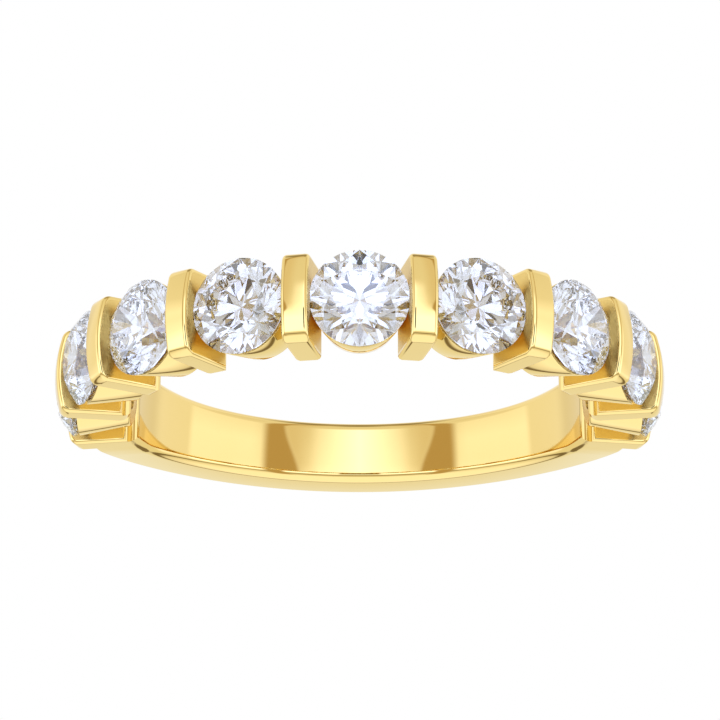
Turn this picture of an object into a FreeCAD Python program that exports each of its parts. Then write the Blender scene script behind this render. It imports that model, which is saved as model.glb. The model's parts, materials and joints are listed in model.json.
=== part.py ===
import FreeCAD, Part
import math
import os

import Sketcher
from FreeCAD import Placement, Rotation, Vector

# A bar set band: nine round brilliants between ten bars, in one cast gold ring.
#
# Frame: the origin is the centre of the finger hole, half-way across the band.
# +Z runs along the finger. The middle stone is on -Y and the plain back of the
# shank is on +Y, so the ring lies on its side as modelled. Millimetres.

STONE_COUNT = 9
BAR_COUNT = STONE_COUNT + 1

# Driving dimensions: alias, value, meaning.
SIZES = [
    ("finger_radius", 8.65, "radius of the finger hole"),
    ("stone_pitch", 22.7, "angle from one stone to the next, degrees"),
    ("bar_length", 3.2, "length of a bar along the finger"),
    ("bar_thickness", 0.9, "thickness of a bar round the ring"),
    ("crown_radius", 11.5, "ring radius of a bar's outer face at mid-length"),
    ("shoulder_radius", 11.24, "ring radius where the outer face meets the end bevel"),
    ("shoulder_half", 1.36, "distance of that line from mid-length"),
    ("bevel_radius", 11.09, "ring radius where the end bevel meets the end face"),
    ("inner_rounding", 0.35, "rounding of the band's edges at the finger"),
    ("bevel_rounding", 0.15, "rounding of the lines beside the end bevel"),
    ("edge_rounding", 0.14, "softening of a bar's long edges"),
    ("hole_overlap", 0.4, "how far bars and cups reach into the finger hole before it is cut"),
    ("shank_radius", 10.6, "outer radius of the plain shank"),
    ("shank_rounding", 0.2, "rounding of the shank's outer edges"),
    ("taper_start", 3.1, "distance behind the finger's centre where the shank starts to narrow"),
    ("taper_end", 9.6, "distance where the shank is narrowest"),
    ("taper_blend", 10.0, "radius that blends the start of the taper"),
    ("back_width", 2.48, "width of the shank at the back"),
    ("stone_diameter", 3.46, "girdle diameter of a stone"),
    ("girdle_height", 10.83, "ring radius of the middle of the girdle"),
    ("girdle_thickness", 0.09, "thickness of the girdle"),
    ("table_share", 0.57, "table width as a share of the girdle diameter"),
    ("crown_angle", 34.5, "angle of the crown's main facets"),
    ("pavilion_angle", 40.75, "angle of the pavilion's main facets"),
    ("star_share", 0.5, "how far the star facets reach from table to girdle"),
    ("lower_share", 0.77, "how far the lower girdle facets reach from girdle to culet"),
    ("culet_flat", 0.02, "height taken off the point of the pavilion"),
    ("seat_gap", 0.015, "gap between a stone and its seat"),
    ("cup_rim_height", 10.6, "ring radius of a cup's rim"),
    ("cup_rim_radius", 1.7, "outer radius of a cup at its rim"),
    ("cup_foot_radius", 1.33, "outer radius of a cup at the finger"),
    ("cup_foot_rounding", 0.1, "softening of a cup's edge at the finger"),
    ("opening_rim_radius", 1.52, "radius of a cup's opening at its rim"),
    ("opening_foot_radius", 0.7, "radius of a cup's opening at the finger"),
]

# Lengths worked out from the sheet's cells, as expressions.
HALF_BAR = "sizes.bar_length / 2"
STONE_RADIUS = "sizes.stone_diameter / 2"
HALF_GIRDLE = "sizes.girdle_thickness / 2"
INNER_END = "(sizes.finger_radius - sizes.hole_overlap)"
CROWN_HEIGHT = f"({STONE_RADIUS} * (1 - sizes.table_share) * tan(sizes.crown_angle))"
PAVILION_DEPTH = f"({STONE_RADIUS} * tan(sizes.pavilion_angle))"
CUP_SLOPE = (
    "((sizes.cup_rim_radius - sizes.cup_foot_radius)"
    " / (sizes.cup_rim_height - sizes.finger_radius))"
)
OPENING_SLOPE = (
    "((sizes.opening_rim_radius - sizes.opening_foot_radius)"
    " / (sizes.cup_rim_height - sizes.finger_radius))"
)


def make_sheet(doc):
    """Return the sheet whose aliased cells drive every size below."""
    sheet = doc.addObject("Spreadsheet::Sheet", "sizes")
    for row, (alias, value, meaning) in enumerate(SIZES, start=1):
        sheet.set(f"A{row}", alias)
        sheet.set(f"B{row}", str(value))
        sheet.set(f"C{row}", meaning)
        sheet.setAlias(f"B{row}", alias)
    doc.recompute()
    return sheet


def number_of(owner, text):
    """Return the value of an expression, read with one of the document's objects."""
    return float(owner.evalExpression(text))


def base_feature(body, role):
    """Return one of the body's own base planes or axes by its role."""
    return next(item for item in body.Origin.OriginFeatures if item.Role == role)


def make_sketch(body, name, plane_role, turn=None):
    """Put a sketch on a base plane, turned about its own first axis if asked."""
    sketch = body.newObject("Sketcher::SketchObject", name)
    sketch.AttachmentSupport = [(base_feature(body, plane_role), "")]
    sketch.MapMode = "FlatFace"
    if turn is not None:
        sketch.AttachmentOffset = Placement(Vector(), Rotation(Vector(1, 0, 0), turn))
    return sketch


def bowed_arc(start, end, radius):
    """Return the short arc from start to end that bows to the right of its way."""
    chord = end - start
    middle = (start + end) * 0.5
    side = Vector(chord.y, -chord.x, 0).normalize()
    reach = math.sqrt(radius ** 2 - (chord.Length / 2) ** 2)
    return Part.Arc(start, middle + side * (radius - reach), end)


def draw_outline(sketch, corners, bows=None):
    """Add a closed outline to a sketch, every corner tied to its two expressions.

    bows maps the number of an edge to the expression of its radius. Such an
    edge is an arc that bows outwards, and the outline runs anticlockwise.
    """
    bows = bows or {}
    first = sketch.GeometryCount
    points = [Vector(number_of(sketch, x), number_of(sketch, y), 0) for x, y in corners]
    count = len(points)
    for i, start in enumerate(points):
        end = points[(i + 1) % count]
        if i in bows:
            edge = bowed_arc(start, end, number_of(sketch, bows[i]))
        else:
            edge = Part.LineSegment(start, end)
        sketch.addGeometry(edge, False)
    for i in range(count):
        following = first + (i + 1) % count
        sketch.addConstraint(Sketcher.Constraint("Coincident", first + i, 2, following, 1))
    for i, ((x_text, y_text), point) in enumerate(zip(corners, points)):
        tie(sketch, "DistanceX", (-1, 1, first + i, 1, point.x), x_text)
        tie(sketch, "DistanceY", (-1, 1, first + i, 1, point.y), y_text)
    for i, text in bows.items():
        tie(sketch, "Radius", (first + i, number_of(sketch, text)), text)


def tie(sketch, kind, terms, text):
    """Add one dimension to a sketch and bind it to an expression."""
    number = sketch.addConstraint(Sketcher.Constraint(kind, *terms))
    sketch.setExpression(f"Constraints[{number}]", text)


def make_circle(body, name, plane_role, radius_text):
    """Put a sketch of one circle about the origin on a base plane."""
    sketch = make_sketch(body, name, plane_role)
    radius = number_of(sketch, radius_text)
    sketch.addGeometry(Part.Circle(Vector(), Vector(0, 0, 1), radius), False)
    sketch.addConstraint(Sketcher.Constraint("Coincident", 0, 3, -1, 1))
    tie(sketch, "Radius", (0, radius), radius_text)
    return sketch


def pad_across(body, sketch, name, length_text):
    """Pad a sketch equally to both sides."""
    pad = body.newObject("PartDesign::Pad", name)
    pad.Profile = sketch
    pad.SideType = "Symmetric"
    pad.setExpression("Length", length_text)
    return pad


def pocket_across(body, sketch, name, length_text):
    """Cut a sketch away equally to both sides."""
    pocket = body.newObject("PartDesign::Pocket", name)
    pocket.Profile = sketch
    pocket.SideType = "Symmetric"
    pocket.setExpression("Length", length_text)
    return pocket


def revolve(body, sketch, name, axis_role, angle_text="360"):
    """Turn a sketch about a base axis, equally to both sides."""
    turned = body.newObject("PartDesign::Revolution", name)
    turned.Profile = sketch
    turned.ReferenceAxis = (base_feature(body, axis_role), [""])
    turned.Midplane = True
    turned.setExpression("Angle", angle_text)
    return turned


def repeat_round(body, name, axis_role, count, angle_text, feature=None):
    """Repeat one feature, or the whole body, round a base axis."""
    body.Document.recompute()
    pattern = body.newObject("PartDesign::PolarPattern", name)
    if feature is None:
        pattern.TransformMode = "Whole shape"
    else:
        pattern.TransformMode = "Features"
        pattern.Originals = [feature]
    pattern.Axis = (base_feature(body, axis_role), [""])
    pattern.Occurrences = count
    pattern.setExpression("Angle", angle_text)
    body.Tip = pattern
    return pattern


def edges_where(shape, test):
    """Return the names of a shape's edges whose points all pass a test."""
    return [
        f"Edge{number}"
        for number, edge in enumerate(shape.Edges, start=1)
        if all(test(point) for point in edge.discretize(5))
    ]


def round_edges(owner, base, name, radius_text, test):
    """Round those edges of a body's feature whose points all pass a test."""
    fillet = owner.newObject("PartDesign::Fillet", name)
    fillet.Base = (base, edges_where(base.Shape, test))
    fillet.setExpression("Radius", radius_text)
    owner.Document.recompute()
    return fillet


def ring_radius(point):
    """Return a point's distance from the finger's axis."""
    return math.hypot(point.x, point.y)


def near(value, target):
    """Tell whether two lengths agree to a micrometre."""
    return abs(value - target) < 0.001


def cut_finger_hole(body, name):
    """Cut the finger hole out of a body that reaches a little into it."""
    circle = make_circle(body, f"{name}_circle", "XY_Plane", "sizes.finger_radius")
    hole = pocket_across(body, circle, f"{name}_hole", "2 * sizes.bar_length")
    body.Document.recompute()
    return hole


def make_shank(doc):
    """Make the plain band from the last bar round the back to the first bar."""
    body = doc.addObject("PartDesign::Body", "shank")
    section = make_sketch(body, "shank_section", "YZ_Plane")
    draw_outline(section, [
        ("sizes.finger_radius", f"-{HALF_BAR}"),
        ("sizes.shank_radius", f"-{HALF_BAR}"),
        ("sizes.shank_radius", HALF_BAR),
        ("sizes.finger_radius", HALF_BAR),
    ])
    revolve(body, section, "shank_sweep", "Z_Axis", f"360 - {STONE_COUNT} * sizes.stone_pitch")

    # Both side faces draw in towards the back along a long arc.
    depth = "((sizes.bar_length - sizes.back_width) / 2)"
    reach = "(sizes.taper_end - sizes.taper_start)"
    bow = f"({reach}^2 + {depth}^2) / (2 * {depth})"
    far = "2 * sizes.taper_end - sizes.taper_start"
    taper = make_sketch(body, "taper_outline", "YZ_Plane")
    draw_outline(taper, [
        ("sizes.taper_start", HALF_BAR),
        (far, HALF_BAR),
        (far, "sizes.bar_length"),
        ("sizes.taper_start", "sizes.bar_length"),
    ], {0: bow})
    draw_outline(taper, [
        ("sizes.taper_start", "-sizes.bar_length"),
        (far, "-sizes.bar_length"),
        (far, f"-{HALF_BAR}"),
        ("sizes.taper_start", f"-{HALF_BAR}"),
    ], {2: bow})
    cut = pocket_across(body, taper, "side_tapers", "4 * sizes.shank_radius")
    doc.recompute()

    start = number_of(cut, "sizes.taper_start")
    finger = number_of(cut, "sizes.finger_radius")
    outside = number_of(cut, "sizes.shank_radius")
    blended = round_edges(
        body, cut, "taper_blends", "sizes.taper_blend",
        lambda p: near(p.y, start) and abs(p.z) > 1,
    )
    inner = round_edges(
        body, blended, "shank_finger_edges", "sizes.inner_rounding",
        lambda p: near(ring_radius(p), finger) and abs(p.z) > 1,
    )
    round_edges(
        body, inner, "shank_outer_edges", "sizes.shank_rounding",
        lambda p: near(ring_radius(p), outside) and abs(p.z) > 1,
    )
    return body


def make_bars(doc):
    """Make the ten bars, each a radial plate with a crowned outer face."""
    body = doc.addObject("PartDesign::Body", "bars")
    outline = make_sketch(body, "bar_outline", "YZ_Plane")
    rise = "(sizes.crown_radius - sizes.shoulder_radius)"
    draw_outline(outline, [
        (f"-{INNER_END}", HALF_BAR),
        ("-sizes.bevel_radius", HALF_BAR),
        ("-sizes.shoulder_radius", "sizes.shoulder_half"),
        ("-sizes.shoulder_radius", "-sizes.shoulder_half"),
        ("-sizes.bevel_radius", f"-{HALF_BAR}"),
        (f"-{INNER_END}", f"-{HALF_BAR}"),
    ], {2: f"(sizes.shoulder_half^2 + {rise}^2) / (2 * {rise})"})
    pad_across(body, outline, "bar_plate", "sizes.bar_thickness")
    plate = cut_finger_hole(body, "bar")

    finger = number_of(plate, "sizes.finger_radius")
    end = number_of(plate, HALF_BAR)
    flank = number_of(plate, "sizes.bar_thickness") / 2
    inner = round_edges(
        body, plate, "bar_finger_edges", "sizes.inner_rounding",
        lambda p: near(ring_radius(p), finger) and near(abs(p.z), end),
    )
    # The lines beside the end bevel run across the thickness, clear of the crown.
    bevelled = body.newObject("PartDesign::Fillet", "bar_bevel_lines")
    bevelled.Base = (inner, [
        f"Edge{number}"
        for number, edge in enumerate(inner.Shape.Edges, start=1)
        if near(edge.Length, 2 * flank) and edge.CenterOfMass.y < -finger - 1
    ])
    bevelled.setExpression("Radius", "sizes.bevel_rounding")
    doc.recompute()
    round_edges(
        body, bevelled, "bar_long_edges", "sizes.edge_rounding",
        lambda p: near(abs(p.x), flank),
    )
    repeat_round(body, "bar_row", "Z_Axis", BAR_COUNT, f"{STONE_COUNT} * sizes.stone_pitch")
    body.setExpression("Placement.Rotation.Angle", f"-{STONE_COUNT} / 2 * sizes.stone_pitch")
    return body


def make_cups(doc):
    """Make the nine tapered cups, one under each stone, ended at the finger hole."""
    body = doc.addObject("PartDesign::Body", "cups")
    section = make_sketch(body, "cup_section", "YZ_Plane")
    inner_radius = f"sizes.cup_foot_radius - {CUP_SLOPE} * sizes.hole_overlap"
    draw_outline(section, [
        ("-sizes.cup_rim_height", "0"),
        (f"-{INNER_END}", "0"),
        (f"-{INNER_END}", inner_radius),
        ("-sizes.cup_rim_height", "sizes.cup_rim_radius"),
    ])
    revolve(body, section, "cup_cone", "Y_Axis")
    foot = cut_finger_hole(body, "cup")
    finger = number_of(foot, "sizes.finger_radius")
    round_edges(
        body, foot, "cup_foot_edge", "sizes.cup_foot_rounding",
        lambda p: near(ring_radius(p), finger),
    )
    repeat_round(body, "cup_row", "Z_Axis", STONE_COUNT, f"{STONE_COUNT - 1} * sizes.stone_pitch")
    body.setExpression(
        "Placement.Rotation.Angle", f"-{STONE_COUNT - 1} / 2 * sizes.stone_pitch"
    )
    return body


def make_seats(doc):
    """Make the space that each stone and the opening below it take out of the gold."""
    body = doc.addObject("PartDesign::Body", "seats")
    section = make_sketch(body, "seat_section", "YZ_Plane")
    wide = f"({STONE_RADIUS} + sizes.seat_gap)"
    half = f"({HALF_GIRDLE} + sizes.seat_gap)"
    # The conical seat ends where it meets the opening's narrower cone.
    rim_drop = "(sizes.girdle_height - sizes.cup_rim_height)"
    meet = (
        f"(({wide} - sizes.opening_rim_radius + {half} / tan(sizes.pavilion_angle)"
        f" - {rim_drop} * {OPENING_SLOPE})"
        f" / (1 / tan(sizes.pavilion_angle) - {OPENING_SLOPE}))"
    )
    depth = "(sizes.girdle_height - sizes.finger_radius + 1)"
    draw_outline(section, [
        (f"-({half} + {CROWN_HEIGHT})", "0"),
        (depth, "0"),
        (depth, f"sizes.opening_rim_radius - ({depth} - {rim_drop}) * {OPENING_SLOPE}"),
        (meet, f"sizes.opening_rim_radius - ({meet} - {rim_drop}) * {OPENING_SLOPE}"),
        (half, wide),
        (f"-{half}", wide),
        (f"-({half} + {CROWN_HEIGHT})", f"{wide} * sizes.table_share"),
    ])
    # The section is drawn about the girdle's middle, so it is moved out to the row.
    section.setExpression("AttachmentOffset.Base.x", "-sizes.girdle_height")
    revolve(body, section, "seat", "Y_Axis")
    repeat_round(body, "seat_row", "Z_Axis", STONE_COUNT, f"{STONE_COUNT - 1} * sizes.stone_pitch")
    body.setExpression(
        "Placement.Rotation.Angle", f"-{STONE_COUNT - 1} / 2 * sizes.stone_pitch"
    )
    return body


def make_band(doc):
    """Join shank, bars and cups into the cast band and cut the seats into it."""
    casting = doc.addObject("Part::MultiFuse", "casting")
    casting.Shapes = [make_shank(doc), make_bars(doc), make_cups(doc)]
    casting.Refine = True
    band = doc.addObject("Part::Cut", "band")
    band.Base = casting
    band.Tool = make_seats(doc)
    band.Refine = True
    band.Label = "band"
    return band


def facet_lines():
    """Return each facet family as name, turn, count, side, distance, height, slope.

    A family's plane passes a point of the stone's section, given by its distance
    from the stone's axis and its height above the girdle's edge. The slope is the
    height that the plane gains for each millimetre towards the axis.
    """
    star = (
        f"({STONE_RADIUS} * (sizes.table_share * cos(22.5)"
        " + sizes.star_share * (1 - sizes.table_share * cos(22.5))))"
    )
    star_height = f"(({STONE_RADIUS} - {star} * cos(22.5)) * tan(sizes.crown_angle))"
    upper_edge = f"({STONE_RADIUS} * cos(11.25))"
    upper_slope = f"({star_height} / ({upper_edge} - {star} * cos(11.25)))"
    star_edge = f"({STONE_RADIUS} * sizes.table_share * cos(22.5))"
    star_slope = f"(({CROWN_HEIGHT} - {star_height}) / ({star} - {star_edge}))"
    low = f"({STONE_RADIUS} * (1 - sizes.lower_share))"
    low_depth = f"(({STONE_RADIUS} - {low} * cos(22.5)) * tan(sizes.pavilion_angle))"
    lower_slope = f"({low_depth} / ({upper_edge} - {low} * cos(11.25)))"
    return [
        ("bezel", 0, 8, "crown", STONE_RADIUS, "0", "tan(sizes.crown_angle)"),
        ("star", 22.5, 8, "crown", star_edge, CROWN_HEIGHT, star_slope),
        ("upper_girdle", 11.25, 16, "crown", upper_edge, "0", upper_slope),
        ("pavilion_main", 0, 8, "pavilion", STONE_RADIUS, "0", "tan(sizes.pavilion_angle)"),
        ("lower_girdle", 11.25, 16, "pavilion", upper_edge, "0", lower_slope),
    ]


def make_brilliant(doc):
    """Make one round brilliant about its own centre, with its table towards -Y."""
    body = doc.addObject("PartDesign::Body", "brilliant")
    girdle = make_circle(body, "girdle_circle", "XZ_Plane", STONE_RADIUS)
    blank = body.newObject("PartDesign::Pad", "stone_blank")
    blank.Profile = girdle
    blank.SideType = "Two sides"
    blank.setExpression("Length", f"{HALF_GIRDLE} + {CROWN_HEIGHT}")
    blank.setExpression("Length2", f"{HALF_GIRDLE} + {PAVILION_DEPTH} - sizes.culet_flat")

    for name, turn, count, side, distance, height, slope in facet_lines():
        out = "-" if side == "crown" else ""
        beyond = f"({HALF_GIRDLE} + {PAVILION_DEPTH})"
        line = make_sketch(body, f"{name}_line", "YZ_Plane", turn)
        draw_outline(line, [
            ("0", f"{distance} + ({HALF_GIRDLE} + {height}) / {slope}"),
            (f"{out}{beyond}", f"{distance} + ({HALF_GIRDLE} + {height} - {beyond}) / {slope}"),
            (f"{out}{beyond}", "2 * sizes.stone_diameter"),
            ("0", "2 * sizes.stone_diameter"),
        ])
        cut = pocket_across(body, line, name, "2 * sizes.stone_diameter")
        repeat_round(body, f"{name}_facets", "Y_Axis", count, "360", cut)
    return body


def place_stones(doc, brilliant):
    """Seat a copy of the brilliant in every cup."""
    stones = []
    for i in range(STONE_COUNT):
        turn = f"({i} - {STONE_COUNT - 1} / 2) * sizes.stone_pitch"
        stone = doc.addObject("Part::Compound", f"stone_{i + 1}")
        stone.Links = [brilliant]
        stone.setExpression("Placement.Base.x", f"sizes.girdle_height * sin({turn})")
        stone.setExpression("Placement.Base.y", f"-sizes.girdle_height * cos({turn})")
        stone.setExpression("Placement.Rotation.Angle", turn)
        stone.Label = f"stone_{i + 1}"
        stones.append(stone)
    return stones


def check_document(doc, pieces):
    """Stop if any feature failed or any piece is not a sound solid."""
    for item in doc.Objects:
        if "Invalid" in item.State or "Error" in item.State:
            raise RuntimeError(f"{item.Label} failed: {item.State}")
    for piece in pieces:
        shape = piece.Shape
        if shape.isNull() or not shape.isValid():
            raise RuntimeError(f"{piece.Label} has no sound shape")
        if len(shape.Solids) != 1:
            raise RuntimeError(f"{piece.Label} has {len(shape.Solids)} solids, not one")
        box = shape.BoundBox
        print(
            f"{piece.Label}: {shape.Volume:.3f} mm3, {len(shape.Faces)} faces, "
            f"{box.XLength:.2f} x {box.YLength:.2f} x {box.ZLength:.2f} mm"
        )


def main():
    doc = FreeCAD.newDocument("bar_set_band")
    make_sheet(doc)
    band = make_band(doc)
    stones = place_stones(doc, make_brilliant(doc))
    doc.recompute()
    pieces = [band] + stones
    check_document(doc, pieces)
    os.makedirs("parts", exist_ok=True)
    for piece in pieces:
        piece.Shape.exportStep(os.path.join("parts", f"{piece.Label}.step"))


main()
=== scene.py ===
"""Looks of a bar set band: a ring cast in yellow gold with a row of round brilliants.

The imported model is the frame. Its stones stay as they are and get their finish here.
The cast band is modelled again with smooth curves and rounded edges, in millimetres,
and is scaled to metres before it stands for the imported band. The origin is in the
centre of the finger hole, +Z runs along the finger, and the middle stone is on -Y.
"""

import json
import logging
import math
from contextlib import contextmanager
from dataclasses import dataclass
from enum import Enum
from typing import Any, Callable, Iterator, Sequence

import bmesh
import bpy
from mathutils import Matrix, Vector


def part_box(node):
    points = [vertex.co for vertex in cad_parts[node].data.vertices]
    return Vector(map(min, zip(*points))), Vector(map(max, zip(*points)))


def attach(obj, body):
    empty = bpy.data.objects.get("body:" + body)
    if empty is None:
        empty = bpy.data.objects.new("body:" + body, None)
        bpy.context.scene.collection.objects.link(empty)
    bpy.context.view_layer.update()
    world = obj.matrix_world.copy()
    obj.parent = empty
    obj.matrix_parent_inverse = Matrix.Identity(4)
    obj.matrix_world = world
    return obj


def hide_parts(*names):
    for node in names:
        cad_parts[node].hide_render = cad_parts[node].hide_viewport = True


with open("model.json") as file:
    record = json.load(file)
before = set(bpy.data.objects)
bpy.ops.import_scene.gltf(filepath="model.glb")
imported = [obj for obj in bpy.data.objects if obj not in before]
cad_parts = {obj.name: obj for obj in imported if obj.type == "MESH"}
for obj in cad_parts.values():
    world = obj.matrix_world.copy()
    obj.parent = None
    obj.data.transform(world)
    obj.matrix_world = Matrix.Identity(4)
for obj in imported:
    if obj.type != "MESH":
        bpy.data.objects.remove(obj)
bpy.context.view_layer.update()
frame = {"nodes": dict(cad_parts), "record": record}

logging.basicConfig(level=logging.INFO, format="%(message)s")
log = logging.getLogger("bar_set_band")

MM = 0.001

# What lies this near to a place, in the millimetres of the model, counts as being there.
TOUCH = 0.0005

# The colour sockets of a Mix node, which has others of the same names for numbers.
MIX_FIRST, MIX_SECOND, MIX_RESULT = 6, 7, 2

Test = Callable[[Vector], bool]
Piece = bpy.types.Object
Socket = bpy.types.NodeSocket

# Light by height: pairs of degrees over the horizon and level, in rising order.
Levels = tuple[tuple[float, float], ...]


class Element(Enum):
    """What a selection is made of."""

    VERTICES = "VERT"
    EDGES = "EDGE"
    FACES = "FACE"


class Merge(Enum):
    """How one solid is combined with others."""

    JOIN = "UNION"
    CUT = "DIFFERENCE"


def linear(hex_colour: str) -> tuple[float, float, float, float]:
    """Turn an sRGB hex colour into linear light.

    Args:
        hex_colour: A colour such as "#F0DA92".

    Returns:
        Red, green, blue and an alpha of one.
    """
    shares = [int(hex_colour[i:i + 2], 16) / 255 for i in (1, 3, 5)]
    red, green, blue = (
        c / 12.92 if c <= 0.04045 else ((c + 0.055) / 1.055) ** 2.4 for c in shares
    )
    return red, green, blue, 1.0


def deselect() -> None:
    """Leave nothing selected, so that an operator acts only on what comes next."""
    bpy.ops.object.select_all(action="DESELECT")


def activate(piece: Piece) -> None:
    """Select one piece alone and make it the active one.

    Args:
        piece: The piece.
    """
    deselect()
    piece.select_set(True)
    bpy.context.view_layer.objects.active = piece


@contextmanager
def editing(piece: Piece) -> Iterator[None]:
    """Edit a piece with nothing selected, and return to object mode after.

    Args:
        piece: The mesh object to edit.

    Yields:
        Nothing, while the piece is in edit mode.
    """
    activate(piece)
    bpy.ops.object.mode_set(mode="EDIT")
    bpy.ops.mesh.select_all(action="DESELECT")
    yield
    bpy.ops.object.mode_set(mode="OBJECT")


def select(element: Element, test: Test) -> int:
    """Select what has all its vertices in a place, in the mesh being edited.

    Args:
        element: Whether vertices, edges or faces are selected.
        test: Tells whether a vertex's position is in the place.

    Returns:
        The number of elements selected.
    """
    bpy.ops.mesh.select_mode(type=element.value)
    bpy.ops.mesh.select_all(action="DESELECT")
    data = bpy.context.edit_object.data
    mesh = bmesh.from_edit_mesh(data)
    if element is Element.VERTICES:
        chosen = [v for v in mesh.verts if test(v.co)]
    else:
        items = mesh.edges if element is Element.EDGES else mesh.faces
        chosen = [item for item in items if all(test(v.co) for v in item.verts)]
    for item in chosen:
        item.select_set(True)
    mesh.select_flush_mode()
    bmesh.update_edit_mesh(data)
    return len(chosen)


def start_piece(name: str, add: Callable[..., Any], **settings: Any) -> Piece:
    """Add a primitive and put its place, turn and scale into its mesh.

    Args:
        name: The new piece's name.
        add: The operator that adds the primitive.
        settings: The operator's own settings.

    Returns:
        The new piece, with its object at the origin.
    """
    deselect()
    add(**settings)
    piece = bpy.context.object
    piece.name = name
    bpy.ops.object.transform_apply(location=True, rotation=True, scale=True)
    return piece


def turned_copies(piece: Piece, turns: Sequence[float]) -> list[Piece]:
    """Copy a piece round the finger's axis, and delete the piece itself.

    Args:
        piece: The piece, modelled in the middle of the row.
        turns: The angle of each copy, in radians.

    Returns:
        The copies, each with a mesh of its own.
    """
    copies = []
    for number, turn in enumerate(turns, start=1):
        copy = bpy.data.objects.new(f"{piece.name}_{number}", piece.data.copy())
        copy.data.transform(Matrix.Rotation(turn, 4, "Z"))
        bpy.context.scene.collection.objects.link(copy)
        copies.append(copy)
    bpy.data.objects.remove(piece)
    return copies


def joined(pieces: Sequence[Piece], name: str) -> Piece:
    """Put several pieces' meshes in one object.

    Args:
        pieces: The pieces, of which the first one takes in the others.
        name: The name of the result.

    Returns:
        The first piece, which now holds all of them.
    """
    activate(pieces[0])
    for piece in pieces:
        piece.select_set(True)
    bpy.ops.object.join()
    pieces[0].name = name
    return pieces[0]


def apply_modifier(piece: Piece, kind: str, **settings: Any) -> None:
    """Add a modifier to a piece and apply it.

    Args:
        piece: The piece that is changed.
        kind: The modifier's type.
        settings: The modifier's own settings.
    """
    activate(piece)
    modifier = piece.modifiers.new(kind.lower(), kind)
    for setting, value in settings.items():
        setattr(modifier, setting, value)
    bpy.ops.object.modifier_apply(modifier=modifier.name)


def combine(piece: Piece, merge: Merge, others: Sequence[Piece]) -> None:
    """Join other solids to a piece, or cut them out of it, and delete them.

    Args:
        piece: The solid that is changed.
        merge: Whether the others are joined or cut out.
        others: The other solids, which keep clear of each other.
    """
    tool = joined(others, "tool")
    apply_modifier(piece, "BOOLEAN", operation=merge.value, solver="MANIFOLD", object=tool)
    bpy.data.objects.remove(tool)


@dataclass(frozen=True)
class RowSizes:
    """Sizes that bars, cups, stones and shank share, in millimetres and radians."""

    finger_radius: float
    stone_radius: float
    stone_count: int
    stone_pitch: float = math.radians(22.7)
    half_length: float = 1.6
    girdle_height: float = 10.83
    half_girdle: float = 0.045
    crown_angle: float = math.radians(34.5)
    pavilion_angle: float = math.radians(40.75)
    table_share: float = 0.57
    seat_gap: float = 0.015
    inner_rounding: float = 0.35

    @classmethod
    def from_frame(cls) -> "RowSizes":
        """Read the finger hole and the stones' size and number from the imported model.

        Returns:
            The sizes.
        """
        hole = next(m for m in frame["record"]["mounts"] if m["name"] == "finger_hole")
        stones = [name for name in frame["nodes"] if name.startswith("stone_")]
        low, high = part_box(stones[0])
        return cls(
            finger_radius=hole["dims"]["r_mm"],
            stone_radius=(high.z - low.z) / 2 / MM,
            stone_count=len(stones),
        )

    def stone_turns(self) -> list[float]:
        """Return the angle of each stone from the middle of the row."""
        middle = (self.stone_count - 1) / 2
        return [(i - middle) * self.stone_pitch for i in range(self.stone_count)]

    def bar_turns(self) -> list[float]:
        """Return the angle of each bar from the middle of the row."""
        middle = self.stone_count / 2
        return [(i - middle) * self.stone_pitch for i in range(self.stone_count + 1)]


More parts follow.
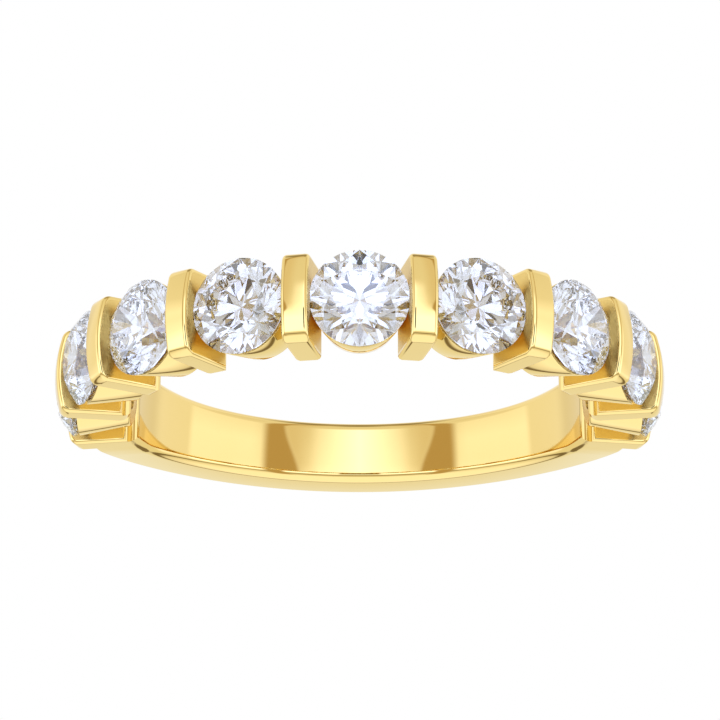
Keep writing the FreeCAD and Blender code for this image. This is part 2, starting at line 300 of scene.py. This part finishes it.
@dataclass
class BarRow:
    """The bars across the band: radial plates with a crowned outer face.

    The finishes are the polished one and the one for the flanks between the stones, which is
    rougher and painted darker as shade.
    """

    sizes: RowSizes
    finishes: tuple[bpy.types.Material, bpy.types.Material]
    thickness: float = 0.96
    crown_radius: float = 11.5
    crown_bow: float = 5.0
    corner_rounding: float = 0.27
    edge_rounding: float = 0.15
    crown_lines: int = 9
    round_segments: int = 8
    edge_segments: int = 4
    flank_finish: int = 1

    @property
    def shoulder_radius(self) -> float:
        """Return how far the outer face's two ends are from the finger's axis."""
        return self.crown_radius - self.crown_bow + math.sqrt(
            self.crown_bow ** 2 - self.sizes.half_length ** 2
        )

    @property
    def spacing(self) -> float:
        """Return the distance between the lines across the outer face."""
        return 2 * self.sizes.half_length / (self.crown_lines + 1)

    def build(self) -> list[Piece]:
        """Model one bar, round its edges, and copy it to every place in the row.

        Returns:
            The bars, which don't touch each other.
        """
        bar = self._plate()
        for finish in self.finishes:
            bar.data.materials.append(finish)
        self._raise_crown(bar)
        self._round_corners(bar)
        self._round_flanks(bar)
        return turned_copies(bar, self.sizes.bar_turns())

    def _plate(self) -> Piece:
        """Start from a block, which is thinner than the bar by its two roundings.

        Returns:
            The block, in the middle of the row.
        """
        inner, outer = self.sizes.finger_radius, self.shoulder_radius
        return start_piece(
            "bar", bpy.ops.mesh.primitive_cube_add, size=1,
            location=(0, -(inner + outer) / 2, 0),
            scale=(
                self.thickness - 2 * self.edge_rounding, outer - inner,
                2 * self.sizes.half_length,
            ),
        )

    def _raise_crown(self, bar: Piece) -> None:
        """Divide the outer face and lift each line of it on to the crown's arc.

        Args:
            bar: The block.
        """
        outer_face = -self.shoulder_radius + TOUCH
        lines = [
            line * self.spacing - self.sizes.half_length
            for line in range(1, self.crown_lines + 1)
        ]

        def select_line(z: float) -> None:
            """Select the outer face's vertices on one line.

            Args:
                z: Where the line is.
            """
            select(
                Element.VERTICES,
                lambda p: p.y < outer_face and abs(p.z - z) < self.spacing / 4,
            )

        with editing(bar):
            for side in (-1, 1):
                select(Element.EDGES, lambda p: p.y < outer_face and p.x * side > 0)
                bpy.ops.mesh.subdivide(number_cuts=self.crown_lines)
            for z in lines:
                select_line(z)
                bpy.ops.mesh.vert_connect()
            for z in lines:
                select_line(z)
                arc = self.crown_radius - self.crown_bow + math.sqrt(self.crown_bow ** 2 - z ** 2)
                bpy.ops.transform.translate(value=(0, self.shoulder_radius - arc, 0))

    def _round_corners(self, bar: Piece) -> None:
        """Round the four corners of the plate, at the finger and at the crown's ends.

        Args:
            bar: The crowned plate.
        """
        end = self.sizes.half_length
        corners = (
            (self.sizes.finger_radius, self.sizes.inner_rounding),
            (self.shoulder_radius, self.corner_rounding),
        )
        with editing(bar):
            for height, rounding in corners:
                select(
                    Element.EDGES,
                    lambda p: abs(p.y + height) < TOUCH and abs(p.z) > end - TOUCH,
                )
                bpy.ops.mesh.bevel(
                    offset=rounding, segments=self.round_segments, affect="EDGES"
                )

    def _round_flanks(self, bar: Piece) -> None:
        """Raise both flanks on a quarter round, one narrow inset after another.

        Args:
            bar: The plate, still thinner than the bar by its two roundings.
        """
        flank = self.thickness / 2 - self.edge_rounding
        turns = [math.pi / 2 * i / self.edge_segments for i in range(self.edge_segments + 1)]
        with editing(bar):
            for side in (-1, 1):
                select(Element.FACES, lambda p: p.x * side > flank - TOUCH)
                for before, after in zip(turns, turns[1:]):
                    bpy.ops.mesh.inset(
                        thickness=self.edge_rounding * (math.cos(before) - math.cos(after)),
                        depth=self.edge_rounding * (math.sin(after) - math.sin(before)),
                    )
                # The flanks take the rougher gold, whose darker colour is painted shade between
                # the stones.
                bar.active_material_index = self.flank_finish
                bpy.ops.object.material_slot_assign()


@dataclass
class SeatCutters:
    """Slightly oversized stones, which cut the notches in the flanks of the bars.

    The lower cone stops short of its point, at a share of the cutter's width.
    """

    sizes: RowSizes
    culet_share: float = 0.1
    sides: int = 96

    def build(self) -> list[Piece]:
        """Model one cutter as a short cylinder drawn in at both ends, and copy it.

        Returns:
            A cutter for every stone.
        """
        sizes = self.sizes
        wide = sizes.stone_radius + sizes.seat_gap
        half = sizes.half_girdle + sizes.seat_gap
        crown = sizes.stone_radius * (1 - sizes.table_share) * math.tan(sizes.crown_angle)
        pavilion = wide * (1 - self.culet_share) * math.tan(sizes.pavilion_angle)
        cutter = start_piece(
            "seat_cutter", bpy.ops.mesh.primitive_cylinder_add, vertices=self.sides,
            radius=wide, depth=2 * half, location=(0, -sizes.girdle_height, 0),
            rotation=(math.radians(90), 0, 0),
        )
        with editing(cutter):
            self._draw_out(-sizes.girdle_height - half, -crown, sizes.table_share)
            self._draw_out(-sizes.girdle_height + half, pavilion, self.culet_share)
        return turned_copies(cutter, sizes.stone_turns())

    def _draw_out(self, y: float, reach: float, share: float) -> None:
        """Extrude the cap at y and shrink it.

        Args:
            y: Where the cap is.
            reach: How far it moves along Y.
            share: Its new radius as a share of the old one.
        """
        select(Element.FACES, lambda p: abs(p.y - y) < TOUCH)
        bpy.ops.mesh.extrude_region_move(TRANSFORM_OT_translate={"value": (0, reach, 0)})
        bpy.ops.transform.resize(value=(share, 1, share), center_override=(0, y + reach, 0))


@dataclass
class CupRow:
    """The tapered cups under the stones, open at the rim and at the finger.

    The seat slopes down past the opening's rim radius: its reach is a share of the way
    from the seat's edge to that radius.
    """

    sizes: RowSizes
    rim_height: float = 10.6
    rim_radius: float = 1.7
    foot_radius: float = 1.33
    opening_rim_radius: float = 1.52
    opening_foot_radius: float = 0.7
    seat_reach: float = 1.6
    foot_rounding: float = 0.1
    rim_rounding: float = 0.025
    sides: int = 96
    finger_sides: int = 512
    foot_segments: int = 4
    rim_segments: int = 2

    def build(self) -> list[Piece]:
        """Model one cup from a cone, round its edges, and copy it under every stone.

        Returns:
            The cups, which don't touch each other.
        """
        cup = self._wall()
        self._fit_to_finger(cup)
        self._round_edges(cup)
        return turned_copies(cup, self.sizes.stone_turns())

    def _wall(self) -> Piece:
        """Start from an open cone, fold its rim inwards and down, and close the foot.

        Returns:
            The cup in the middle of the row, with a flat foot.
        """
        foot, rim = -self.sizes.finger_radius, -self.rim_height
        cup = start_piece(
            "cup", bpy.ops.mesh.primitive_cone_add, vertices=self.sides,
            radius1=self.foot_radius, radius2=self.rim_radius, depth=foot - rim,
            end_fill_type="NOTHING", location=(0, (foot + rim) / 2, 0),
            rotation=(math.radians(90), 0, 0),
        )
        sizes = self.sizes
        girdle_foot = -sizes.girdle_height + sizes.half_girdle + sizes.seat_gap
        seat_radius = sizes.stone_radius + sizes.seat_gap
        seat_radius -= (rim - girdle_foot) / math.tan(sizes.pavilion_angle)
        with editing(cup):
            select(Element.EDGES, lambda p: abs(p.y - rim) < TOUCH)
            radius = self._fold(rim, self.rim_radius, 0, seat_radius)
            way = (radius - self.opening_rim_radius) * self.seat_reach
            drop = way * math.tan(sizes.pavilion_angle)
            radius = self._fold(rim, radius, drop, radius - way)
            self._fold(rim + drop, radius, foot - rim - drop, self.opening_foot_radius)
            select(Element.EDGES, lambda p: abs(p.y - foot) < TOUCH)
            bpy.ops.mesh.bridge_edge_loops()
            bpy.ops.mesh.select_all(action="SELECT")
            bpy.ops.mesh.normals_make_consistent(inside=False)
        return cup

    def _fold(self, y: float, radius: float, drop: float, new_radius: float) -> float:
        """Extrude the selected loop towards the finger and change its radius.

        Args:
            y: Where the loop is.
            radius: Its radius.
            drop: How far the new loop is moved along Y.
            new_radius: The new loop's radius.

        Returns:
            The new radius.
        """
        bpy.ops.mesh.extrude_edges_move(TRANSFORM_OT_translate={"value": (0, drop, 0)})
        share = new_radius / radius
        bpy.ops.transform.resize(value=(share, 1, share), center_override=(0, y + drop, 0))
        return new_radius

    def _fit_to_finger(self, cup: Piece) -> None:
        """Lay the cup's foot on the round wall of the finger hole.

        Args:
            cup: The cup, whose foot is still flat.
        """
        foot = -self.sizes.finger_radius
        hole = start_piece(
            "finger_wall", bpy.ops.mesh.primitive_cylinder_add, vertices=self.finger_sides,
            radius=self.sizes.finger_radius, depth=4 * self.sizes.half_length,
        )
        flat = [v.index for v in cup.data.vertices if abs(v.co.y - foot) < TOUCH]
        group = cup.vertex_groups.new(name="foot")
        group.add(flat, 1, "REPLACE")
        apply_modifier(
            cup, "SHRINKWRAP", wrap_method="PROJECT", target=hole, vertex_group=group.name,
            use_project_y=True, use_project_x=False, use_project_z=False,
            use_negative_direction=True, use_positive_direction=True,
            project_limit=self.foot_radius / 2,
        )
        bpy.data.objects.remove(hole)

    def _round_edges(self, cup: Piece) -> None:
        """Round the foot's outer edge and take the sharpness off the rim.

        Args:
            cup: The finished wall.
        """
        foot, rim = -self.sizes.finger_radius, -self.rim_height
        middle = (self.foot_radius + self.opening_foot_radius) / 2
        with editing(cup):
            select(
                Element.EDGES, lambda p: p.y > foot - TOUCH and math.hypot(p.x, p.z) > middle
            )
            bpy.ops.mesh.bevel(
                offset=self.foot_rounding, segments=self.foot_segments, affect="EDGES"
            )
            select(Element.EDGES, lambda p: abs(p.y - rim) < TOUCH)
            bpy.ops.mesh.bevel(
                offset=self.rim_rounding, segments=self.rim_segments, affect="EDGES"
            )


@dataclass
class Shank:
    """The plain band behind the stones, which narrows towards the back."""

    sizes: RowSizes
    outer_radius: float = 10.6
    back_half_width: float = 1.24
    taper_start: float = 3.1
    taper_end: float = 9.6
    outer_rounding: float = 0.2
    steps: int = 128
    inner_segments: int = 8
    outer_segments: int = 6

    def build(self) -> Piece:
        """Spin the section round the back, narrow it, and round its four long edges.

        Returns:
            The shank, whose ends lie inside the last bars.
        """
        shank = self._sweep()
        self._narrow(shank)
        self._round_edges(shank)
        return shank

    def _sweep(self) -> Piece:
        """Start from a flat section in the last bar and spin it to the first bar.

        Returns:
            The sweep, closed at both ends and equally wide all along.
        """
        inner, outer = self.sizes.finger_radius, self.outer_radius
        shank = start_piece(
            "shank", bpy.ops.mesh.primitive_plane_add, size=outer - inner,
            location=(0, -(inner + outer) / 2, 0), rotation=(0, math.radians(90), 0),
        )
        last_bar = self.sizes.bar_turns()[-1]
        shank.data.transform(Matrix.Rotation(last_bar, 4, "Z"))
        with editing(shank):
            bpy.ops.mesh.select_all(action="SELECT")
            bpy.ops.transform.resize(
                value=(1, 1, 2 * self.sizes.half_length / (outer - inner)),
                center_override=(0, 0, 0),
            )
            bpy.ops.mesh.spin(
                steps=self.steps, angle=2 * math.pi - 2 * last_bar,
                center=(0, 0, 0), axis=(0, 0, -1),
            )
            bpy.ops.mesh.select_all(action="SELECT")
            bpy.ops.mesh.remove_doubles(threshold=TOUCH)
            bpy.ops.mesh.select_all(action="DESELECT")
            bpy.ops.mesh.select_mode(type="EDGE")
            bpy.ops.mesh.select_non_manifold()
            bpy.ops.mesh.edge_face_add()
            bpy.ops.mesh.select_all(action="SELECT")
            bpy.ops.mesh.normals_make_consistent(inside=False)
        return shank

    def _half_width(self, y: float) -> float:
        """Return half the shank's width at a distance behind the finger's centre.

        Args:
            y: The distance along +Y.

        Returns:
            The half width, which follows an arc from taper_start on.
        """
        reach = self.taper_end - self.taper_start
        depth = self.sizes.half_length - self.back_half_width
        bow = (reach ** 2 + depth ** 2) / (2 * depth)
        along = y - self.taper_start
        if along <= 0:
            return self.sizes.half_length
        return self.back_half_width + bow - math.sqrt(bow ** 2 - (along - reach) ** 2)

    def _narrow(self, shank: Piece) -> None:
        """Draw both side faces in, one place along the sweep after another.

        Args:
            shank: The swept section.
        """
        places = sorted({v.co.y for v in shank.data.vertices})
        with editing(shank):
            for y in places:
                share = self._half_width(y) / self.sizes.half_length
                if share < 1:
                    select(Element.VERTICES, lambda p: p.y == y)
                    bpy.ops.transform.resize(value=(1, 1, share), center_override=(0, 0, 0))

    def _round_edges(self, shank: Piece) -> None:
        """Round the edges at the finger broadly and the outer edges a little.

        Args:
            shank: The narrowed sweep.
        """
        rounds = (
            (self.sizes.finger_radius, self.sizes.inner_rounding, self.inner_segments),
            (self.outer_radius, self.outer_rounding, self.outer_segments),
        )
        near = 4 * TOUCH
        with editing(shank):
            for radius, rounding, segments in rounds:
                for side in (-1, 1):
                    select(
                        Element.EDGES,
                        lambda p: abs(math.hypot(p.x, p.y) - radius) < near and p.z * side > 0,
                    )
                    bpy.ops.mesh.bevel(offset=rounding, segments=segments, affect="EDGES")


@dataclass
class CastBand:
    """Shank, bars and cups, joined like the one casting that they are.

    Its shading is smooth across the roundings, and large faces stay flat: the normals
    lean fully on the larger face.
    """

    sizes: RowSizes
    finishes: tuple[bpy.types.Material, bpy.types.Material]
    sharp_angle: float = math.radians(32)
    lean: int = 100

    def build(self) -> Piece:
        """Join the parts, cut the notches, and set the shading of the polished surface.

        Returns:
            The band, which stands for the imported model's band.
        """
        bars = BarRow(self.sizes, self.finishes).build()
        band = joined(bars, "cast_band")
        combine(band, Merge.CUT, SeatCutters(self.sizes).build())
        combine(band, Merge.JOIN, CupRow(self.sizes).build())
        combine(band, Merge.JOIN, [Shank(self.sizes).build()])
        band.data.transform(Matrix.Scale(MM, 4))
        activate(band)
        bpy.ops.object.shade_smooth_by_angle(angle=self.sharp_angle)
        apply_modifier(band, "WEIGHTED_NORMAL", keep_sharp=True, weight=self.lean)
        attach(band, "root")
        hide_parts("band")
        return band


def add_node(
    tree: bpy.types.NodeTree, kind: str, settings: dict[str | int, Any] | None = None,
    links: dict[str | int, Socket] | None = None,
) -> bpy.types.Node:
    """Add a node with its settings and the links into it.

    Args:
        tree: The node tree.
        kind: The node's type.
        settings: Values by an input socket's name or number, or by a property's name.
        links: Sockets of other nodes by the name or number of the input that they feed.

    Returns:
        The new node.
    """
    node = tree.nodes.new(kind)
    for key, value in (settings or {}).items():
        if isinstance(key, int) or key in node.inputs:
            node.inputs[key].default_value = value
        else:
            setattr(node, key, value)
    for key, socket in (links or {}).items():
        tree.links.new(socket, node.inputs[key])
    return node


def new_material(name: str) -> bpy.types.Material:
    """Make an empty node material.

    Args:
        name: Its name.

    Returns:
        The material.
    """
    material = bpy.data.materials.new(name)
    material.use_nodes = True
    material.node_tree.nodes.clear()
    return material


def finish_surface(material: bpy.types.Material, shader: bpy.types.Node) -> None:
    """Lead a shader to the material's surface output.

    Args:
        material: The material.
        shader: The last of its shader nodes.
    """
    add_node(
        material.node_tree, "ShaderNodeOutputMaterial", links={"Surface": shader.outputs[0]}
    )


@dataclass(frozen=True)
class PolishedGold:
    """Cast 14 karat yellow gold, buffed to a mirror.

    The eye sees sharp reflections in a warm pale yellow. Wear leaves patches of a
    slightly deeper yellow, and buffing leaves hairlines that soften the reflections in
    places. Real hairlines are finer than 0.1 mm, and are drawn coarser so that they show.
    """

    name: str = "polished_yellow_gold"
    colour: str = "#E9CD83"
    worn_colour: str = "#E7CA7E"
    roughness: tuple[float, float] = (0.03, 0.07)
    wear_length: float = 1.4 * MM
    wear_detail: float = 3.0
    hairline_length: float = 0.12 * MM
    hairline_detail: float = 2.0

    def material(self) -> bpy.types.Material:
        """Build the material.

        Returns:
            The material.
        """
        material = new_material(self.name)
        tree = material.node_tree
        place = add_node(tree, "ShaderNodeTexCoord").outputs["Object"]
        wear = add_node(
            tree, "ShaderNodeTexNoise",
            {"Scale": 1 / self.wear_length, "Detail": self.wear_detail}, {"Vector": place},
        ).outputs["Fac"]
        colour = add_node(
            tree, "ShaderNodeMix",
            {
                "data_type": "RGBA", MIX_FIRST: linear(self.colour),
                MIX_SECOND: linear(self.worn_colour),
            },
            {"Factor": wear},
        ).outputs[MIX_RESULT]
        hairlines = add_node(
            tree, "ShaderNodeTexNoise",
            {"Scale": 1 / self.hairline_length, "Detail": self.hairline_detail},
            {"Vector": place},
        ).outputs["Fac"]
        low, high = self.roughness
        roughness = add_node(
            tree, "ShaderNodeMapRange", {"To Min": low, "To Max": high}, {"Value": hairlines}
        ).outputs["Result"]
        shader = add_node(
            tree, "ShaderNodeBsdfPrincipled", {"Metallic": 1.0},
            {"Base Color": colour, "Roughness": roughness},
        )
        finish_surface(material, shader)
        return material


@dataclass(frozen=True)
class SatinGoldWithPaintedShade(PolishedGold):
    """The gold on the bars' flanks: brushed, out of the buffing wheel's reach, and painted
    darker.

    The roughness gives soft shading there and no sharp reflection of the stones. Both colours are
    darker than the polished gold's: painted shade in the recesses between the stones.
    """

    name: str = "satin_yellow_gold_painted_shade"
    # Darker than the polished gold: painted shade on the flanks. The patches of the second colour
    # are wear.
    colour: str = "#E4C679"
    worn_colour: str = "#DDBC6C"
    roughness: tuple[float, float] = (0.26, 0.36)


@dataclass(frozen=True)
class CutDiamond:
    """Polished diamond. Flat facets bend and throw back the light, mostly white."""

    name: str = "cut_diamond"
    colour: str = "#D3D6DB"
    refraction: float = 2.42

    def material(self) -> bpy.types.Material:
        """Build the material.

        Returns:
            The material.
        """
        material = new_material(self.name)
        shader = add_node(
            material.node_tree, "ShaderNodeBsdfPrincipled",
            {
                "Base Color": linear(self.colour), "Roughness": 0.0,
                "IOR": self.refraction, "Transmission Weight": 1.0,
            },
        )
        finish_surface(material, shader)
        return material


@dataclass
class StoneRow:
    """The round brilliants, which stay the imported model's own solids."""

    sizes: RowSizes

    def dress(self, finish: bpy.types.Material) -> list[Piece]:
        """Give every stone its finish.

        Args:
            finish: The stones' material.

        Returns:
            The stones.
        """
        stones = [frame["nodes"][f"stone_{i + 1}"] for i in range(self.sizes.stone_count)]
        for stone in stones:
            stone.material_slots[0].material = finish
        return stones


@dataclass
class PhotoCamera:
    """The photograph's point of view: a little above the ring, turned upside down.

    The centre is where the lens looks in the frame, in pixels.
    """

    distance: float = 107.75 * MM
    elevation: float = math.radians(16.9)
    aim: float = math.radians(0.254)
    focal_pixels: float = 2842.7
    frame_pixels: float = 720.0
    centre_x: float = 359.64
    centre_y: float = 377.2
    sensor: float = 36.0
    nearest: float = 1 * MM

    def build(self) -> Piece:
        """Create the camera and make it the scene's own.

        Returns:
            The camera.
        """
        data = bpy.data.cameras.new("photo_camera")
        data.sensor_width = self.sensor
        data.lens = self.focal_pixels / self.frame_pixels * self.sensor
        data.shift_x = (self.frame_pixels / 2 - self.centre_x) / self.frame_pixels
        data.shift_y = (self.centre_y - self.frame_pixels / 2) / self.frame_pixels
        data.clip_start = self.nearest
        camera = bpy.data.objects.new("photo_camera", data)
        bpy.context.scene.collection.objects.link(camera)
        down = self.elevation + self.aim
        forward = Vector((0, math.cos(down), -math.sin(down)))
        up = Vector((0, -math.sin(down), -math.cos(down)))
        right = forward.cross(up)
        turn = Matrix((right, up, -forward)).transposed().to_4x4()
        place = Vector((0, -math.cos(self.elevation), math.sin(self.elevation))) * self.distance
        camera.matrix_world = Matrix.Translation(place) @ turn
        bpy.context.scene.camera = camera
        return camera


class Angle(Enum):
    """The angle that an edge in the light tent goes by, seen from the ring."""

    HEIGHT = "height over the horizon"
    TURN = "turn away from the front, to either side"
    SLANTED_TURN = "turn, with a slant just under the horizon"


class Fade(Enum):
    """How an edge in the light tent goes from nothing to all."""

    SOFT = "SMOOTHSTEP"
    EVEN = "LINEAR"


@dataclass(frozen=True)
class Edge:
    """An edge of a wall, light or card: nothing of it at one angle, all of it at another.

    Both angles are in degrees.
    """

    angle: Angle
    nothing_at: float
    all_at: float
    fade: Fade = Fade.SOFT


@dataclass(frozen=True)
class Panel:
    """A wall, light or card of the tent, the same on the left and on the right.

    Its light is one colour, or levels by height.
    """

    name: str
    light: str | Levels
    edges: tuple[Edge, ...]


@dataclass
class Studio:
    """A pale floor and a light tent all round, as for photographing jewellery.

    The tent has four walls from the front to the rear. They are brightest at the ring's
    own height, and the dim gap over that draws a thin dark line along rounded edges.
    Before them hang, in this order:

    - a warm cloth at the rear, which keeps the ring's side faces yellow
    - a lamp low in front, the bright middle of the shank's inside
    - brown cards beside it, the two dark bands of the shank's inside, one edge slanting
    - cream cards between lamp and brown cards
    - the lens hood of the camera, the dark facets of the middle stone

    A level under one is light dimmed by the cloth, which warms it, and a level over one
    is cooler lamplight: each colour channel is the level to a power of its own. Light
    takes many turns inside a stone, which needs the high number of bounces.
    """

    floor_height: float
    floor_width: float = 1.2
    floor_colour: str = "#FFFFFF"
    dim_tint: tuple[float, float, float] = (1.0, 1.15, 1.5)
    bright_tint: tuple[float, float, float] = (1.0, 1.17, 1.65)
    bounces: int = 32
    slant: float = 9.0
    slant_edges: tuple[Edge, ...] = (Edge(Angle.HEIGHT, -23, -8), Edge(Angle.HEIGHT, -2, -8))
    front_wall: Levels = (
        (-90, 0.4), (-74, 0.4), (-64, 1.0), (-46, 1.0), (-28, 1.03), (-20, 1.08), (-12, 1.25),
        (-6, 1.55), (0, 1.9), (10, 1.9), (14, 1.25), (17, 0.98), (21, 0.85), (24, 0.3),
        (27, 0.3), (30, 0.8), (40, 0.98), (46, 1.35), (90, 1.35),
    )
    panels: tuple[Panel, ...] = (
        Panel(
            "side wall",
            (
                (-90, 0.4), (-74, 0.4), (-64, 1.05), (-46, 1.0), (-26, 1.08), (-17, 1.38),
                (-12, 1.35), (-4, 1.5), (2, 1.8), (10, 1.8), (16, 1.3), (20, 1.0), (24, 0.45),
                (27, 0.45), (31, 1.0), (46, 1.3), (56, 1.35), (90, 1.35),
            ),
            (Edge(Angle.TURN, 45, 60),),
        ),
        Panel(
            "back wall",
            (
                (-90, 0.4), (-74, 0.4), (-64, 1.1), (-50, 1.15), (-38, 1.15), (-28, 1.12),
                (-20, 1.12), (-6, 1.12), (3, 1.4), (10, 1.3), (16, 1.1), (21, 1.0), (24, 0.3),
                (27, 0.3), (31, 1.0), (46, 1.3), (56, 1.35), (90, 1.35),
            ),
            (Edge(Angle.TURN, 96, 101),),
        ),
        Panel(
            "rear wall",
            (
                (-90, 0.4), (-74, 0.4), (-60, 1.0), (-45, 1.1), (-32, 1.1), (-24, 0.95),
                (-8, 0.95), (0, 1.03), (21.5, 1.03), (24, 0.25), (27.5, 0.25), (31, 1.0),
                (46, 1.35), (90, 1.35),
            ),
            (Edge(Angle.TURN, 122, 134),),
        ),
        Panel(
            "warm cloth", "#FFFFEE",
            (
                Edge(Angle.TURN, 122, 134), Edge(Angle.HEIGHT, -4, 2),
                Edge(Angle.HEIGHT, 24, 21),
            ),
        ),
        Panel(
            "lamp", ((-90, 1.9), (90, 1.9)),
            (
                Edge(Angle.TURN, 27, 0, Fade.EVEN), Edge(Angle.HEIGHT, -32, -22),
                Edge(Angle.HEIGHT, 2, -6),
            ),
        ),
        Panel(
            "brown card", "#CDB488",
            (
                Edge(Angle.SLANTED_TURN, 38, 42), Edge(Angle.TURN, 54, 48),
                Edge(Angle.HEIGHT, 50, 36),
            ),
        ),
        Panel(
            "cream card", "#F8F0E4",
            (
                Edge(Angle.TURN, 20, 36), Edge(Angle.SLANTED_TURN, 42, 38),
                Edge(Angle.HEIGHT, -4, -12),
            ),
        ),
        Panel(
            "lens hood", "#434C5A",
            (
                Edge(Angle.TURN, 12, 9), Edge(Angle.HEIGHT, -9, -6),
                Edge(Angle.HEIGHT, 11, 8),
            ),
        ),
    )

    def build(self) -> None:
        """Lay the floor and light the scene."""
        self._lay_floor()
        world = bpy.data.worlds.new("light_tent")
        world.use_nodes = True
        world.node_tree.nodes["Background"].inputs["Strength"].default_value = 1.0
        self._hang_tent(world.node_tree)
        scene = bpy.context.scene
        scene.world = world
        scene.view_settings.view_transform = "Standard"
        scene.cycles.max_bounces = self.bounces
        scene.cycles.glossy_bounces = self.bounces
        scene.cycles.transmission_bounces = self.bounces

    def _lay_floor(self) -> None:
        """Lay a pane that looks plain white and lets the tent's light up through it."""
        floor = start_piece(
            "floor", bpy.ops.mesh.primitive_plane_add, size=self.floor_width,
            location=(0, 0, self.floor_height),
        )
        material = new_material("backlit_white_acrylic")
        tree = material.node_tree
        seen = add_node(tree, "ShaderNodeLightPath").outputs["Is Camera Ray"]
        clear = add_node(tree, "ShaderNodeBsdfTransparent").outputs[0]
        white = add_node(
            tree, "ShaderNodeEmission", {"Color": linear(self.floor_colour), "Strength": 1.0}
        ).outputs[0]
        pane = add_node(tree, "ShaderNodeMixShader", links={"Fac": seen, 1: clear, 2: white})
        finish_surface(material, pane)
        floor.data.materials.append(material)

    def _hang_tent(self, tree: bpy.types.NodeTree) -> None:
        """Hang one panel before another, and lead the whole to the world's background.

        Args:
            tree: The world's node tree.
        """
        angles = self._angles(tree)
        tent = self._light_by_height(tree, angles[Angle.HEIGHT], self.front_wall)
        for panel in self.panels:
            layer = add_node(
                tree, "ShaderNodeMix", {"data_type": "RGBA", "label": panel.name},
                {"Factor": self._share(tree, angles, panel.edges), MIX_FIRST: tent},
            )
            if isinstance(panel.light, str):
                layer.inputs[MIX_SECOND].default_value = linear(panel.light)
            else:
                light = self._light_by_height(tree, angles[Angle.HEIGHT], panel.light)
                tree.links.new(light, layer.inputs[MIX_SECOND])
            tent = layer.outputs[MIX_RESULT]
        tree.links.new(tent, tree.nodes["Background"].inputs["Color"])

    def _angles(self, tree: bpy.types.NodeTree) -> dict[Angle, Socket]:
        """Work out the angles that the edges go by.

        Args:
            tree: The world's node tree.

        Returns:
            The sockets that give them, in radians.
        """
        towards = add_node(tree, "ShaderNodeTexCoord").outputs["Generated"]
        axes = add_node(tree, "ShaderNodeSeparateXYZ", links={"Vector": towards}).outputs
        height = add_node(tree, "ShaderNodeMath", {"operation": "ARCSINE"}, {0: axes["Z"]})
        across = add_node(tree, "ShaderNodeMath", {"operation": "ABSOLUTE"}, {0: axes["X"]})
        ahead = add_node(
            tree, "ShaderNodeMath", {"operation": "MULTIPLY", 1: -1.0}, {0: axes["Y"]}
        )
        turn = add_node(
            tree, "ShaderNodeMath", {"operation": "ARCTAN2"},
            {0: across.outputs[0], 1: ahead.outputs[0]},
        )
        angles = {Angle.HEIGHT: height.outputs[0], Angle.TURN: turn.outputs[0]}
        slant = self._share(tree, angles, self.slant_edges, math.radians(self.slant))
        slanted = add_node(
            tree, "ShaderNodeMath", {"operation": "ADD"}, {0: turn.outputs[0], 1: slant}
        )
        return angles | {Angle.SLANTED_TURN: slanted.outputs[0]}

    def _share(
        self, tree: bpy.types.NodeTree, angles: dict[Angle, Socket], edges: Sequence[Edge],
        whole: float = 1.0,
    ) -> Socket:
        """Let each edge leave its share of what the edge before it left.

        Args:
            tree: The world's node tree.
            angles: The angles, in radians.
            edges: The edges, at least one.
            whole: What there is within all of them.

        Returns:
            The socket that gives what is left of the whole.
        """
        left = {}
        for edge in edges:
            step = add_node(
                tree, "ShaderNodeMapRange",
                {
                    "interpolation_type": edge.fade.value, "To Max": whole,
                    "From Min": math.radians(edge.nothing_at),
                    "From Max": math.radians(edge.all_at),
                },
                {"Value": angles[edge.angle]} | left,
            )
            left = {"To Max": step.outputs["Result"]}
        return left["To Max"]

    def _light_by_height(
        self, tree: bpy.types.NodeTree, height: Socket, levels: Levels
    ) -> Socket:
        """Run light levels over the height, from straight down to straight up.

        Args:
            tree: The world's node tree.
            height: The height, in radians.
            levels: The levels.

        Returns:
            The socket that gives the light's colour.
        """
        place = add_node(
            tree, "ShaderNodeMapRange", {"From Min": -math.pi / 2, "From Max": math.pi / 2},
            {"Value": height},
        ).outputs["Result"]
        ramp = add_node(tree, "ShaderNodeValToRGB", links={"Fac": place})
        stops = ramp.color_ramp.elements
        while len(stops) < len(levels):
            stops.new(0.5)
        for stop, (degrees, level) in zip(stops, levels):
            stop.position = (degrees + 90) / 180
            stop.color = self._light(level)
        return ramp.outputs["Color"]

    def _light(self, level: float) -> tuple[float, float, float, float]:
        """Give light of a level its colour.

        Args:
            level: The level, which is one for plain white.

        Returns:
            Red, green, blue and an alpha of one.
        """
        powers = self.dim_tint if level < 1 else self.bright_tint
        red, green, blue = (level ** power for power in powers)
        return red, green, blue, 1.0


def main() -> None:
    """Build, dress, light and frame the ring, and report each piece."""
    sizes = RowSizes.from_frame()
    # The second finish, on the flanks, is rougher and darker: its darker colour is painted shade.
    band = CastBand(sizes, (PolishedGold().material(), SatinGoldWithPaintedShade().material())).build()
    stones = StoneRow(sizes).dress(CutDiamond().material())
    for piece in (band, *stones):
        log.info("%s: %d faces", piece.name, len(piece.data.polygons))
    # The ring lies on its side, and the stones reach lowest.
    Studio(floor_height=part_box("stone_1")[0].z).build()
    PhotoCamera().build()


if __name__ == "__main__":
    main()
